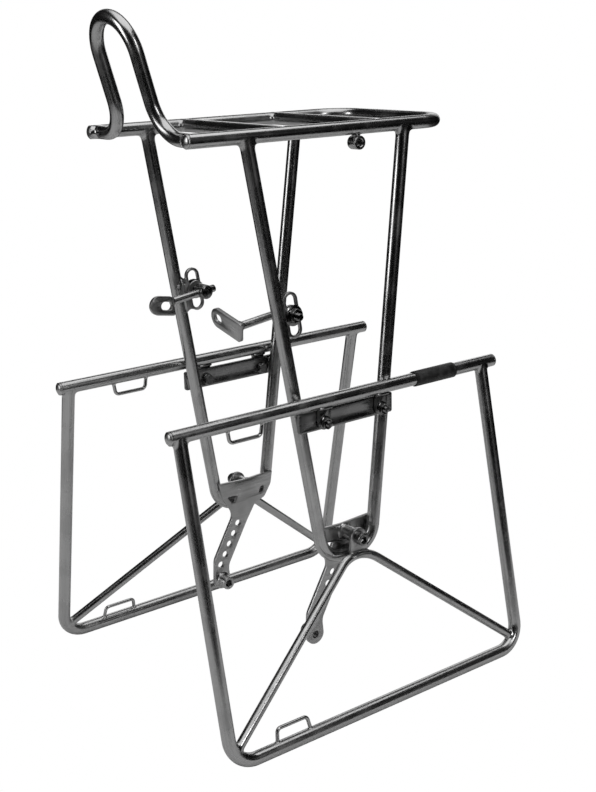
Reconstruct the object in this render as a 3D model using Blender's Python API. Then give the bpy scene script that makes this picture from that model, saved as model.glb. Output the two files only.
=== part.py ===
"""Bicycle front touring rack with two bolted-on pannier frames, in plated steel tube.

Axes: +X right, +Y forward, +Z up. The rack stands on the bottom tubes of its pannier frames at Z = 0,
centred on X = 0 and Y = 0. Named sizes are in millimetres and MM turns them into metres.
"""

import math

import bmesh
import bpy
from mathutils import Matrix, Vector

MM = 0.001
WELD = 0.000001               # metres
GAP = 0.3                     # clearance between neighbouring solids

# Tube
TUBE_R = 5.0
BRACE_R = 3.5
WIRE_R = 1.4
ROD_R = 3.0
TUBE_SIDES = 6                # curve bevel resolution: 4 + 2 * 6 = 16 sides
THIN_SIDES = 4                # 12 sides
BEND_STEPS = 6

# Platform and backstop
PLATFORM_Z = 426.5
RAIL_X = 65.5
RAIL_REAR_Y = -116.5
RAIL_FRONT_Y = 116.0
PLATFORM_BEND = 27.0
CROSS_BAR_Y = {"rear": -37.0, "front": 48.5}
HOOP_Y = -111.3
HOOP_LEAN = math.radians(15.5)
HOOP_HALF_WIDTH = 25.5
HOOP_HEIGHT = 82.5            # along the leaning plane, to the tube's axis
HOOP_FOOT_BEND = 25.0
PLUG_LENGTH = 2.5

# Leg loops: a line per leg, y at the platform and its change per millimetre of drop
LEG_TOP_Y = 70.5
REAR_LEG_SLOPE = 0.166
FRONT_LEG_SLOPE = -0.126
LEG_SPLAY = 0.022
LEG_DROP = 320.5
LEG_BEND = 20.0

# Plates and lugs
PLATE_T = 3.0
BAR_X = 77.0
BAR_Y = (-41.5, 47.0)
BAR_Z = (213.0, 228.4)
BAR_BOLT_Y = {"rear": -20.5, "front": 34.0}
BAR_BOLT_Z = 219.0
TAB_X = 80.3
TAB_HALF_WIDTH = 5.5
DROPOUT_X = 65.2
STRAP_HALF_WIDTH = 8.0
STRAP_TOP = (-1.4, 94.5)
STRAP_KINK = (-22.3, 58.0)
STRAP_END = (-22.3, 42.5)
STRAP_HOLES = 5
STRAP_HOLE_PITCH = 9.65
STRAP_FIRST_HOLE = 5.0        # from STRAP_TOP
STRAP_HOLE_R = 2.8
DROPOUT_BOSS_R = 5.5
DROPOUT_BOSS_LENGTH = 9.6
AXLE_BORE_R = 3.0
PLATE_EDGE = [(33.5, 129.0), (6.0, 127.6), (-21.0, 129.0), (-18.5, 116.0), (-13.0, 107.5)]   # y, z
PLATE_EDGE_END = [(14.0, 103.5), (24.5, 107.5), (31.5, 118.0)]
PLATE_WINDOWS = [[(-14.0, 116.5), (-3.0, 115.0), (-5.5, 109.0), (-10.0, 110.0)],
                 [(17.5, 109.5), (23.5, 114.0), (24.5, 118.0), (20.5, 117.5)]]
LUG_X = 65.0
LUG_T = 2.5
LUG_R = 6.2
LUG_WEB = 8.75                # from the slot's centre line to the web's edge, just short of the leg
LUG_WEB_FOOT = 2.7            # below the slot's lower end
LUG_WEB_HEAD = 1.5            # above its upper end
LUG_NOTCH = (7.2, 0.9)        # back from the centre line, and below the slot's upper end
SLOT_CENTRE = (-35.4, 298.8)
SLOT_HALF_TRAVEL = 11.3
SLOT_R = 4.1

# Pannier frames
PANNIER_TOP = (80.5, 235.0)   # x, z of the top rail's axis
PANNIER_BOTTOM = (128.5, 5.0)
PANNIER_RAIL_HALF = 151.0
SIDE_TUBE_Y = (-143.8, 138.8)
PANNIER_BEND = 20.0
BRACE_VERTEX = (79.0, 8.5, 114.0)
BRACE_BEND = 28.0
BRACE_FOOT_REACH = 13.7       # from the centre of a corner bend
BRACE_SCREW = (8.5, 121.0)    # y, z
BRACE_TAB_X = 82.0
BRACE_EYE_R = 7.5
BRACE_TAB_FOOT_Z = 111.4
BRACE_TAB_FOOT_HALF = 10.0
BRACE_BOSS_R = 5.5
STRAP_LOOP_Y = (-105.5, -75.0)
STRAP_LOOP_RISE = 8.8         # wire axis beyond the tube's surface
STRAP_LOOP_BEND = 3.5
STRAP_LOOP_FLARE = 2.0        # each leg leans in by this much
SLEEVE_Y = (67.0, 108.0)
SLEEVE_R = 6.0

# Lamp boss, on the right rail only
LAMP_Y = 25.7
LAMP_R = 5.0
LAMP_DROP = 10.6
LAMP_LENGTH = 9.0
LAMP_BORE_R = 2.7
LAMP_NECK_HALF = 2.5

# Fasteners
M5_R = 2.5
M5_HEX = 4.62                 # corner radius of an 8 mm hexagon
M5_HEAD = 3.5
M5_NUT = 4.0
M5_END = 88.0
M6_R = 3.0
M6_HEX = 5.77                 # corner radius of a 10 mm hexagon
M6_NUT = 5.0
CAP_HEAD_R = 5.0
CAP_HEAD = 6.0
SOCKET_HEX = 2.9
SOCKET_DEPTH = 3.0
SHANK_CLEARANCE = 2.0         # between the brace screw's tip and the dropout plate
SHANK_ROOT = 1.0              # a shank starts this far inside its head
FLANGE_R = 7.8
FLANGE_T = 1.5
WASHER_R = 7.2
WASHER_T = 1.5

# Struts
ROD_X = 51.5
ROD_SLOPE = 0.13
ROD_FRONT = 10.5              # ahead of the clamp's axis, along the rod
ROD_REAR = {"L": 28.7, "R": 35.5}
EYE_R = 5.6
EYE_HALF = 5.6
EYE_BORE_R = 3.4
CLAMP_END_X = 75.5
TANG_T = 3.0
TANG_HALF_WIDTH = 7.5
TANG_LENGTH = {"L": 21.0, "R": 36.0}
TANG_TILT = {"L": math.radians(17.0), "R": 0.0}       # of the long edges, up from the rod's line
TANG_TWIST = math.radians(14.0)                       # of the right tang, its inner end up
TANG_ROOT = {"L": 0.0, "R": 3.4}                      # the square end, beyond the rod's axis
TANG_DROP = {"L": 3.9, "R": 4.0}                      # of the square end's middle, below the rod's axis
TANG_HOLE_AT = {"L": 6.8, "R": 28.0}                  # from the square end
TANG_HOLE_R = 3.3
TANG_HOLE_HALF = 1.5                                  # the hole is a short slot

SIDES = {"L": -1.0, "R": 1.0}


def clear_scene():
    for old in list(bpy.data.objects):
        bpy.data.objects.remove(old, do_unlink=True)


def material(name, colour, metallic, roughness):
    made = bpy.data.materials.new(name)
    made.use_nodes = True
    shader = made.node_tree.nodes["Principled BSDF"]
    shader.inputs["Base Color"].default_value = (*colour, 1.0)
    shader.inputs["Metallic"].default_value = metallic
    shader.inputs["Roughness"].default_value = roughness
    return made


def add(name, data, look, matrix=None):
    made = bpy.data.objects.new(name, data)
    bpy.context.scene.collection.objects.link(made)
    data.materials.append(look)
    if matrix is not None:
        made.matrix_world = matrix
    return made


def leg_x(z):
    """X of a right leg's axis at height z."""
    return RAIL_X + LEG_SPLAY * (PLATFORM_Z - z)


def pannier_x(z):
    """X of the right pannier frame's plane at height z."""
    share = (PANNIER_TOP[1] - z) / (PANNIER_TOP[1] - PANNIER_BOTTOM[1])
    return PANNIER_TOP[0] + share * (PANNIER_BOTTOM[0] - PANNIER_TOP[0])


def rounded(corners, radii):
    """The polyline through corners, each inner corner replaced by an arc of its radius."""
    points = [Vector(corners[0])]
    for before, corner, after, radius in zip(corners, corners[1:], corners[2:], radii):
        corner = Vector(corner)
        back = (Vector(before) - corner).normalized()
        ahead = (Vector(after) - corner).normalized()
        half = back.angle(ahead) / 2
        centre = corner + (back + ahead).normalized() * radius / math.sin(half)
        start = corner + back * radius / math.tan(half) - centre
        end = corner + ahead * radius / math.tan(half) - centre
        sweep = start.angle(end)
        for step in range(BEND_STEPS + 1):
            t = step / BEND_STEPS
            near = math.sin((1 - t) * sweep) / math.sin(sweep)
            far = math.sin(t * sweep) / math.sin(sweep)
            point = centre + start * near + end * far
            if (point - points[-1]).length > 0.01:
                points.append(point)
    points.append(Vector(corners[-1]))
    return points


def tube(name, points, radius, look, sides=TUBE_SIDES):
    """A round bar along points, with flat ends."""
    curve = bpy.data.curves.new(name, "CURVE")
    curve.dimensions = "3D"
    spline = curve.splines.new("POLY")
    spline.points.add(len(points) - 1)
    for target, point in zip(spline.points, points):
        target.co = (*(Vector(point) * MM), 1.0)
    curve.bevel_depth = radius * MM
    curve.bevel_resolution = sides
    curve.use_fill_caps = True
    return add(name, curve, look)


def circle(centre, radius, count=16):
    return [(centre[0] + radius * math.cos(2 * math.pi * i / count),
             centre[1] + radius * math.sin(2 * math.pi * i / count)) for i in range(count)]


def hexagon(centre, corner_radius):
    return circle(centre, corner_radius, 6)


def stadium(start, end, radius, count=8):
    """Outline of a slot or strap with round ends, from start to end."""
    heading = math.atan2(end[1] - start[1], end[0] - start[0])
    outline = []
    for centre, base in ((start, heading + math.pi / 2), (end, heading - math.pi / 2)):
        for i in range(count + 1):
            angle = base + math.pi * i / count
            outline.append((centre[0] + radius * math.cos(angle), centre[1] + radius * math.sin(angle)))
    return outline


def plate(name, outlines, x_low, x_high, look, matrix=None):
    """A flat piece with its outlines in (y, z), from x_low to x_high. Inner outlines are holes."""
    curve = bpy.data.curves.new(name, "CURVE")
    curve.dimensions = "2D"
    curve.fill_mode = "BOTH"
    for outline in outlines:
        spline = curve.splines.new("POLY")
        spline.points.add(len(outline) - 1)
        for target, (y, z) in zip(spline.points, outline):
            target.co = (y * MM, z * MM, 0.0, 1.0)
        spline.use_cyclic_u = True
    curve.extrude = abs(x_high - x_low) / 2 * MM
    upright = Matrix(((0, 0, 1, (x_low + x_high) / 2 * MM), (1, 0, 0, 0), (0, 1, 0, 0), (0, 0, 0, 1)))
    return add(name, curve, look, upright if matrix is None else matrix @ upright)


def turned(name, start, direction, profile, look, count=16):
    """A solid of revolution: profile lists (distance along direction, radius) from its first end."""
    mesh = bmesh.new()
    rings = []
    for distance, radius in profile:
        if radius == 0:
            rings.append([mesh.verts.new((0, 0, distance * MM))])
            continue
        ring = circle((0, 0), radius, count)
        rings.append([mesh.verts.new((x * MM, y * MM, distance * MM)) for x, y in ring])
    for low, high in zip(rings, rings[1:]):
        for i in range(count):
            j = (i + 1) % count
            corners = [low[i % len(low)], low[j % len(low)], high[j % len(high)], high[i % len(high)]]
            mesh.faces.new(dict.fromkeys(corners))
    bmesh.ops.recalc_face_normals(mesh, faces=mesh.faces)
    data = bpy.data.meshes.new(name)
    mesh.to_mesh(data)
    mesh.free()
    turn = Vector(direction).to_track_quat("Z", "Y").to_matrix().to_4x4()
    return add(name, data, look, Matrix.Translation(Vector(start) * MM) @ turn)


def as_mesh(piece):
    """The same piece as a welded mesh, which a Boolean can work on."""
    if piece.type == "MESH":
        return piece
    data = bpy.data.meshes.new_from_object(piece)
    name, place, look = piece.name, piece.matrix_world.copy(), piece.data.materials[0]
    bpy.data.objects.remove(piece, do_unlink=True)
    mesh = bmesh.new()
    mesh.from_mesh(data)
    bmesh.ops.remove_doubles(mesh, verts=mesh.verts, dist=WELD)
    mesh.to_mesh(data)
    mesh.free()
    data.materials.clear()
    return add(name, data, look, place)


def combine(target, tool, operation):
    """Joins the tool to the target, or cuts it out; the tool stays in the scene as a guide."""
    step = target.modifiers.new(tool.name, "BOOLEAN")
    step.operation = operation
    step.object = tool
    tool.hide_render = True
    tool.display_type = "WIRE"


def set_origin(piece, point):
    """Puts a mesh piece's origin on its joint's axis without moving its shape."""
    place = Vector(point) * MM
    shift = piece.matrix_world.inverted() @ place
    piece.data.transform(Matrix.Translation(-shift))
    piece.matrix_world = piece.matrix_world @ Matrix.Translation(shift)


def make_platform(steel, plug_look):
    rails = [(RAIL_X, RAIL_REAR_Y, PLATFORM_Z), (RAIL_X, RAIL_FRONT_Y, PLATFORM_Z),
             (-RAIL_X, RAIL_FRONT_Y, PLATFORM_Z), (-RAIL_X, RAIL_REAR_Y, PLATFORM_Z)]
    tube("platform_loop", rounded(rails, (PLATFORM_BEND, PLATFORM_BEND)), TUBE_R, steel)
    inner = RAIL_X - TUBE_R - GAP
    for place, y in CROSS_BAR_Y.items():
        tube("cross_bar_" + place, [(-inner, y, PLATFORM_Z), (inner, y, PLATFORM_Z)], TUBE_R, steel)

    def on_hoop(x, rise):
        y = HOOP_Y - rise * math.sin(HOOP_LEAN)
        return (x, y, PLATFORM_Z + rise * math.cos(HOOP_LEAN))

    half = HOOP_HALF_WIDTH
    corners = [on_hoop(-inner, 0), on_hoop(-half, 0), on_hoop(-half, HOOP_HEIGHT),
               on_hoop(half, HOOP_HEIGHT), on_hoop(half, 0), on_hoop(inner, 0)]
    tube("backstop_hoop", rounded(corners, (HOOP_FOOT_BEND, half, half, HOOP_FOOT_BEND)), TUBE_R, steel)
    for side, s in SIDES.items():
        make_plug("platform_plug_" + side, (s * RAIL_X, RAIL_REAR_Y, PLATFORM_Z), -1.0, plug_look)


def make_plug(name, tube_end, heading, look):
    """A domed plug on the end of a tube that points along Y."""
    dome = [(0, 0), (0, TUBE_R), (0.4 * PLUG_LENGTH, 0.93 * TUBE_R), (0.8 * PLUG_LENGTH, 0.6 * TUBE_R),
            (PLUG_LENGTH, 0)]
    start = Vector(tube_end) + Vector((0, heading * GAP, 0))
    return turned(name, start, (0, heading, 0), dome, look)


def make_leg_loop(side, s, steel):
    def leg_point(y_top, slope, drop):
        z = PLATFORM_Z - drop
        return (s * leg_x(z), y_top + slope * drop, z)

    start = TUBE_R * (1 + REAR_LEG_SLOPE) + GAP
    corners = [leg_point(-LEG_TOP_Y, REAR_LEG_SLOPE, start), leg_point(-LEG_TOP_Y, REAR_LEG_SLOPE, LEG_DROP),
               leg_point(LEG_TOP_Y, FRONT_LEG_SLOPE, LEG_DROP), leg_point(LEG_TOP_Y, FRONT_LEG_SLOPE, start)]
    tube("leg_loop_" + side, rounded(corners, (LEG_BEND, LEG_BEND)), TUBE_R, steel)


def face_span(s, centre, thickness):
    """Low and high X of a plate on side s."""
    return s * centre - thickness / 2, s * centre + thickness / 2


def make_mounting_bar(side, s, steel, dark):
    low_y, high_y = BAR_Y
    low_z, high_z = BAR_Z
    outline = [(low_y, low_z), (high_y, low_z), (high_y, high_z), (low_y, high_z)]
    holes = [circle((y, BAR_BOLT_Z), M5_R + GAP) for y in BAR_BOLT_Y.values()]
    plate("mounting_bar_" + side, [outline] + holes, *face_span(s, BAR_X, PLATE_T), steel)
    tab_top = PANNIER_TOP[1] - TUBE_R - GAP
    head_face = BAR_X - PLATE_T / 2 - GAP
    nut_face = TAB_X + PLATE_T / 2 + GAP
    for place, y in BAR_BOLT_Y.items():
        label = place + "_" + side
        lobe = [(y + TAB_HALF_WIDTH * math.cos(a), BAR_BOLT_Z + TAB_HALF_WIDTH * math.sin(a))
                for a in (math.pi * (1 + i / 8) for i in range(9))]
        tab = [(y + TAB_HALF_WIDTH, tab_top), (y - TAB_HALF_WIDTH, tab_top)] + lobe
        hole = circle((y, BAR_BOLT_Z), M5_R + GAP)
        plate("rail_tab_" + label, [tab, hole], *face_span(s, TAB_X, PLATE_T), steel)
        head = as_mesh(plate("bar_bolt_" + label, [hexagon((y, BAR_BOLT_Z), M5_HEX)],
                             *face_span(s, head_face - M5_HEAD / 2, M5_HEAD), dark))
        root = head_face - SHANK_ROOT
        shank = turned("bar_bolt_shank_" + label, (s * root, y, BAR_BOLT_Z), (s, 0, 0),
                       [(0, 0), (0, M5_R), (M5_END - root, M5_R), (M5_END - root, 0)], dark)
        combine(head, shank, "UNION")
        plate("bar_nut_" + label, [hexagon((y, BAR_BOLT_Z), M5_HEX), hole],
              *face_span(s, nut_face + M5_NUT / 2, M5_NUT), dark)


def strap_point(distance):
    """A point of the dropout strap's sloping stretch, measured from its top."""
    run = Vector(STRAP_KINK) - Vector(STRAP_TOP)
    return Vector(STRAP_TOP) + run.normalized() * distance


def make_dropout(side, s, steel):
    """Plate inside the bottom of a leg loop, with a strap of height holes that ends in a boss."""
    slope = (Vector(STRAP_KINK) - Vector(STRAP_TOP)).normalized()
    across = Vector((-slope.y, slope.x)) * STRAP_HALF_WIDTH
    right_top = Vector(STRAP_TOP) + across
    left_top = Vector(STRAP_TOP) - across
    kink = Vector(STRAP_KINK)
    foot = [(STRAP_END[0] + STRAP_HALF_WIDTH * math.cos(a), STRAP_END[1] + STRAP_HALF_WIDTH * math.sin(a))
            for a in (math.pi * (1 + i / 8) for i in range(9))]
    outline = PLATE_EDGE + [tuple(left_top), tuple(kink - across)] + foot
    outline += [tuple(kink + across), tuple(right_top)] + PLATE_EDGE_END
    holes = [circle(strap_point(STRAP_FIRST_HOLE + i * STRAP_HOLE_PITCH), STRAP_HOLE_R, 12)
             for i in range(STRAP_HOLES)]
    axle = circle(STRAP_END, AXLE_BORE_R, 12)
    plate("dropout_plate_" + side, [outline] + PLATE_WINDOWS + holes + [axle],
          *face_span(s, DROPOUT_X, PLATE_T), steel)
    boss_x = DROPOUT_X - PLATE_T / 2 - GAP - DROPOUT_BOSS_LENGTH / 2
    plate("dropout_boss_" + side, [circle(STRAP_END, DROPOUT_BOSS_R), axle],
          *face_span(s, boss_x, DROPOUT_BOSS_LENGTH), steel)


def make_brace(side, s, steel, dark):
    """Inverted-V rod from the frame's two bottom corners to a tab, screwed to a boss on the dropout plate."""
    feet = []
    for corner_y, inward in zip(SIDE_TUBE_Y, (1.0, -1.0)):
        bend = Vector((corner_y + inward * PANNIER_BEND, PANNIER_BOTTOM[1] + PANNIER_BEND))
        reach = (bend - Vector(BRACE_VERTEX[1:])).normalized() * BRACE_FOOT_REACH
        foot = bend + reach
        feet.append((s * pannier_x(foot.y), foot.x, foot.y))
    vertex = (s * BRACE_VERTEX[0], *BRACE_VERTEX[1:])
    route = rounded([feet[0], vertex, feet[1]], (BRACE_BEND,))
    tube("pannier_brace_" + side, route, BRACE_R, steel, THIN_SIDES)

    y, z = BRACE_SCREW
    eye = [(y + BRACE_EYE_R * math.cos(a), z + BRACE_EYE_R * math.sin(a))
           for a in (math.pi * (-0.1 + 1.2 * i / 12) for i in range(13))]
    outline = eye + [(y - BRACE_TAB_FOOT_HALF, BRACE_TAB_FOOT_Z), (y + BRACE_TAB_FOOT_HALF, BRACE_TAB_FOOT_Z)]
    hole = circle(BRACE_SCREW, M6_R + GAP)
    plate("brace_tab_" + side, [outline, hole], *face_span(s, BRACE_TAB_X, PLATE_T), steel)
    boss_start = DROPOUT_X + PLATE_T / 2 + GAP
    boss_end = BRACE_TAB_X - PLATE_T / 2 - GAP
    plate("brace_boss_" + side, [circle(BRACE_SCREW, BRACE_BOSS_R), hole],
          *face_span(s, (boss_start + boss_end) / 2, boss_end - boss_start), steel)
    head_start = BRACE_TAB_X + PLATE_T / 2 + GAP
    shank = head_start - boss_start - SHANK_CLEARANCE
    screw = turned("brace_screw_" + side, (s * (head_start - shank), y, z), (s, 0, 0),
                   [(0, 0), (0, M6_R), (shank, M6_R), (shank, CAP_HEAD_R), (shank + CAP_HEAD, CAP_HEAD_R),
                    (shank + CAP_HEAD, 0)], dark)
    socket_centre = head_start + CAP_HEAD
    socket = as_mesh(plate("brace_socket_" + side, [hexagon(BRACE_SCREW, SOCKET_HEX)],
                           *face_span(s, socket_centre, 2 * SOCKET_DEPTH), dark))
    combine(screw, socket, "DIFFERENCE")


def make_pannier_frame(side, s, steel, plug_look, sleeve_look):
    top_x, top_z = PANNIER_TOP
    half = PANNIER_RAIL_HALF
    tube("pannier_rail_" + side, [(s * top_x, -half, top_z), (s * top_x, half, top_z)], TUBE_R, steel)
    for place, heading in (("rear", -1.0), ("front", 1.0)):
        make_plug(f"rail_plug_{place}_{side}", (s * top_x, heading * half, top_z), heading, plug_look)
    joint_z = top_z - TUBE_R - GAP
    bottom_z = PANNIER_BOTTOM[1]
    rear_y, front_y = SIDE_TUBE_Y
    corners = [(s * pannier_x(z), y, z) for y, z in
               ((rear_y, joint_z), (rear_y, bottom_z), (front_y, bottom_z), (front_y, joint_z))]
    tube("pannier_hoop_" + side, rounded(corners, (PANNIER_BEND, PANNIER_BEND)), TUBE_R, steel)

    for level, tube_z, rise in (("upper", top_z, -1.0), ("lower", bottom_z, 1.0)):
        near = tube_z + rise * (TUBE_R + GAP)
        far = tube_z + rise * (TUBE_R + STRAP_LOOP_RISE)
        hanging = level == "upper"
        ends = [(s * (top_x if hanging else pannier_x(z)), y, z) for y, z in
                ((STRAP_LOOP_Y[0], near), (STRAP_LOOP_Y[0] + STRAP_LOOP_FLARE, far),
                 (STRAP_LOOP_Y[1] - STRAP_LOOP_FLARE, far), (STRAP_LOOP_Y[1], near))]
        tube(f"strap_loop_{level}_{side}", rounded(ends, (STRAP_LOOP_BEND, STRAP_LOOP_BEND)), WIRE_R, steel,
             THIN_SIDES)
    if side == "R":
        low, high = SLEEVE_Y
        bore = circle((0, 0), TUBE_R + GAP)
        along_y = Matrix.Translation((top_x * MM, 0, top_z * MM)) @ Matrix.Rotation(math.pi / 2, 4, "Z")
        plate("rail_sleeve_R", [circle((0, 0), SLEEVE_R), bore], low, high, sleeve_look, along_y)


def make_lamp_boss(steel):
    z = PLATFORM_Z - LAMP_DROP
    top = PLATFORM_Z - TUBE_R - GAP
    ring = [(LAMP_Y + LAMP_R * math.cos(a), z + LAMP_R * math.sin(a))
            for a in (math.pi * (2 / 3 + 5 / 3 * i / 14) for i in range(15))]
    neck = [(LAMP_Y + LAMP_NECK_HALF, top), (LAMP_Y - LAMP_NECK_HALF, top)]
    plate("lamp_boss_R", [ring + neck, circle((LAMP_Y, z), LAMP_BORE_R, 12)],
          *face_span(1.0, RAIL_X, LAMP_LENGTH), steel)


def slot_ends():
    """The two ends of the lug slot's centre line, which runs parallel to the rear leg."""
    run = Vector((-REAR_LEG_SLOPE, 1.0)).normalized() * SLOT_HALF_TRAVEL
    centre = Vector(SLOT_CENTRE)
    return centre - run, centre + run


def lug_outline(low, high):
    """A round-ended lug about the slot, with a web that reaches back to the leg."""
    run = (high - low).normalized()
    back = Vector((-run.y, run.x))

    def on_end(centre, eighth):
        angle = math.pi * eighth / 8
        return centre + LUG_R * (back * math.cos(angle) + run * math.sin(angle))

    outline = [on_end(high, i) for i in range(9)] + [on_end(low, i) for i in range(8, 15)]
    return outline + [low + back * LUG_WEB - run * LUG_WEB_FOOT, high + back * LUG_WEB + run * LUG_WEB_HEAD,
                      high + back * LUG_NOTCH[0] - run * LUG_NOTCH[1]]


def make_strut(side, s, steel, dark):
    """Slotted lug, clamp and adjustable strut rod with its flat tang."""
    low, high = slot_ends()
    plate("slotted_lug_" + side, [lug_outline(low, high), stadium(low, high, SLOT_R)],
          *face_span(s, LUG_X, LUG_T), steel)
    y, z = SLOT_CENTRE
    nut_face = LUG_X + LUG_T / 2 + GAP
    washer_x = LUG_X - LUG_T / 2 - GAP - WASHER_T / 2
    bore = circle(SLOT_CENTRE, M6_R + GAP)
    nut = as_mesh(plate("clamp_nut_" + side, [hexagon(SLOT_CENTRE, M6_HEX), bore],
                        *face_span(s, nut_face + M6_NUT / 2, M6_NUT), dark))
    flange = as_mesh(plate("clamp_flange_" + side, [circle(SLOT_CENTRE, FLANGE_R), bore],
                           *face_span(s, nut_face + FLANGE_T / 2, FLANGE_T), dark))
    combine(nut, flange, "UNION")
    washer = as_mesh(plate("clamp_washer_" + side, [circle(SLOT_CENTRE, WASHER_R, 20), bore],
                           *face_span(s, washer_x, WASHER_T), steel))
    for piece in (nut, washer):
        set_origin(piece, (s * LUG_X, y, z))

    eye_start = ROD_X - EYE_HALF
    length = CLAMP_END_X - eye_start
    eye = turned("eye_bolt_" + side, (s * eye_start, y, z), (s, 0, 0),
                 [(0, 0), (0, EYE_R - 1), (1, EYE_R), (2 * EYE_HALF, EYE_R), (2 * EYE_HALF, M6_R),
                  (length, M6_R), (length, 0)], dark)
    heading = Vector((0, 1, ROD_SLOPE)).normalized()
    centre = Vector((s * ROD_X, y, z))
    cutter = turned("eye_bore_" + side, centre - heading * 2 * EYE_R, heading,
                    [(0, 0), (0, EYE_BORE_R), (4 * EYE_R, EYE_BORE_R), (4 * EYE_R, 0)], dark)
    combine(eye, cutter, "DIFFERENCE")

    front = centre + heading * ROD_FRONT
    rear = centre - heading * ROD_REAR[side]
    rod_length = ROD_FRONT + ROD_REAR[side]
    rod = turned("strut_rod_" + side, rear, heading,
                 [(0, 0), (0, ROD_R), (rod_length - 1, ROD_R), (rod_length, ROD_R - 1), (rod_length, 0)],
                 steel, 12)
    set_origin(rod, centre)
    make_tang(side, s, rear, heading, steel)


def make_tang(side, s, rod_end, heading, steel):
    """Flat slotted plate on the rod's rear end: turned inward on the right strut, rearward on the left."""
    across = Vector((1, 0, 0))
    if side == "R":
        up = across.cross(heading)
        long_axis, thin_axis = up * math.sin(TANG_TWIST) - across * math.cos(TANG_TWIST), heading
        middle = rod_end - heading * (GAP + TANG_T / 2)
        drop = -TANG_DROP[side]
    else:
        long_axis, thin_axis = -heading, across
        middle = rod_end - heading * GAP
        drop = TANG_DROP[side]
    run = Vector((math.cos(TANG_TILT[side]), -math.sin(TANG_TILT[side])))
    side_run = Vector((-run.y, run.x))
    root = Vector((-TANG_ROOT[side], drop))
    tip = root + run * (TANG_LENGTH[side] - TANG_HALF_WIDTH)
    edge = Vector((0, TANG_HALF_WIDTH / run.x))
    outline = [root + edge, root - edge]
    outline += [tip + TANG_HALF_WIDTH * (run * math.cos(a) + side_run * math.sin(a))
                for a in (math.pi * (-1 / 2 + i / 8) for i in range(9))]
    hole = root + run * TANG_HOLE_AT[side]
    slot = stadium(hole - run * TANG_HOLE_HALF, hole + run * TANG_HOLE_HALF, TANG_HOLE_R)
    third = thin_axis.cross(long_axis)
    axes = Matrix((long_axis, third, thin_axis)).transposed().to_4x4()
    frame = Matrix.Translation(middle * MM) @ axes
    back = Matrix(((0, 1, 0, 0), (0, 0, 1, 0), (1, 0, 0, 0), (0, 0, 0, 1)))
    plate("strut_tang_" + side, [outline, slot], -TANG_T / 2, TANG_T / 2, steel, frame @ back)


clear_scene()
nickel = material("plated steel", (0.60, 0.60, 0.61), 1.0, 0.22)
satin = material("satin plugs", (0.52, 0.52, 0.53), 1.0, 0.35)
black_oxide = material("dark fasteners", (0.12, 0.12, 0.13), 1.0, 0.35)
rubber = material("black sleeve", (0.02, 0.02, 0.02), 0.0, 0.6)

make_platform(nickel, satin)
make_lamp_boss(nickel)
for side_name, sign in SIDES.items():
    make_leg_loop(side_name, sign, nickel)
    make_mounting_bar(side_name, sign, nickel, black_oxide)
    make_dropout(side_name, sign, nickel)
    make_pannier_frame(side_name, sign, nickel, satin, rubber)
    make_brace(side_name, sign, nickel, black_oxide)
    make_strut(side_name, sign, nickel, black_oxide)
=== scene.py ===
"""Bicycle front touring rack with two bolted-on pannier frames, in nickel-plated steel tube."""

import math

import bmesh
import bpy
from mathutils import Matrix, Quaternion, Vector


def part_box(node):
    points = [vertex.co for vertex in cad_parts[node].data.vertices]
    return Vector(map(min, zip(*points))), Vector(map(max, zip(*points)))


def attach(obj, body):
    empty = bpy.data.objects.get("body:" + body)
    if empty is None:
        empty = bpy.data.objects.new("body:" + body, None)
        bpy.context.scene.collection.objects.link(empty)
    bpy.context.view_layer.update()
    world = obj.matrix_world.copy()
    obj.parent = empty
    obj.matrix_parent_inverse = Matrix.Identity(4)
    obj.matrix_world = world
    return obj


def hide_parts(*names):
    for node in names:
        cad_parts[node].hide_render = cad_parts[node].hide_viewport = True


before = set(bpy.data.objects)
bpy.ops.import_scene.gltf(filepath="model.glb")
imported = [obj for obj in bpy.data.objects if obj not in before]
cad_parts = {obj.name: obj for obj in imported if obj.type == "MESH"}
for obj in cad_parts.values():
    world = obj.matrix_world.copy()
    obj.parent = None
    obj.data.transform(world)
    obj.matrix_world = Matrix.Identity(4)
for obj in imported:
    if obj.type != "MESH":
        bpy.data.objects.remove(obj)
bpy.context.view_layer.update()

# The view: a long lens off the rack's right rear corner, at about the height of its platform.
CAMERA_AT = Vector((0.7594, -0.5478, 0.4940))
CAMERA_AIM = Vector((0.0282, -0.0047, 0.2242))
CAMERA_ROLL = -0.027
camera_data = bpy.data.cameras.new("camera")
camera_data.lens = 56.12
camera_data.sensor_width = 36.0
camera_data.clip_start = 0.05
camera_data.clip_end = 30.0
camera = bpy.data.objects.new("camera", camera_data)
camera.location = CAMERA_AT
camera.rotation_mode = "QUATERNION"
camera.rotation_quaternion = ((CAMERA_AIM - CAMERA_AT).to_track_quat("-Z", "Y")
                              @ Quaternion((0, 0, 1), CAMERA_ROLL))
bpy.context.scene.collection.objects.link(camera)
bpy.context.scene.camera = camera

# Platform tube: one length of 10 mm steel tube bent to a U, open at the rear, that carries the load.
# It is brazed up with its cross tubes and then nickel plated, which leaves faint lines along the tube.
MM = 0.001
RACK = "rack_frame"
SIDES = {"L": -1.0, "R": 1.0}
plat_low, plat_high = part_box("platform_loop")
TUBE_R = (plat_high.z - plat_low.z) / 2 / MM
PLATFORM_Z = (plat_high.z + plat_low.z) / 2 / MM
RAIL_X = plat_high.x / MM - TUBE_R
RAIL_REAR_Y = plat_low.y / MM
RAIL_FRONT_Y = plat_high.y / MM - TUBE_R
PLATFORM_BEND = 27.0
BEND_STEP = math.radians(4.0)
SHARP_EDGE = math.radians(38)
NICKEL = (0.50, 0.50, 0.50)


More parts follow.
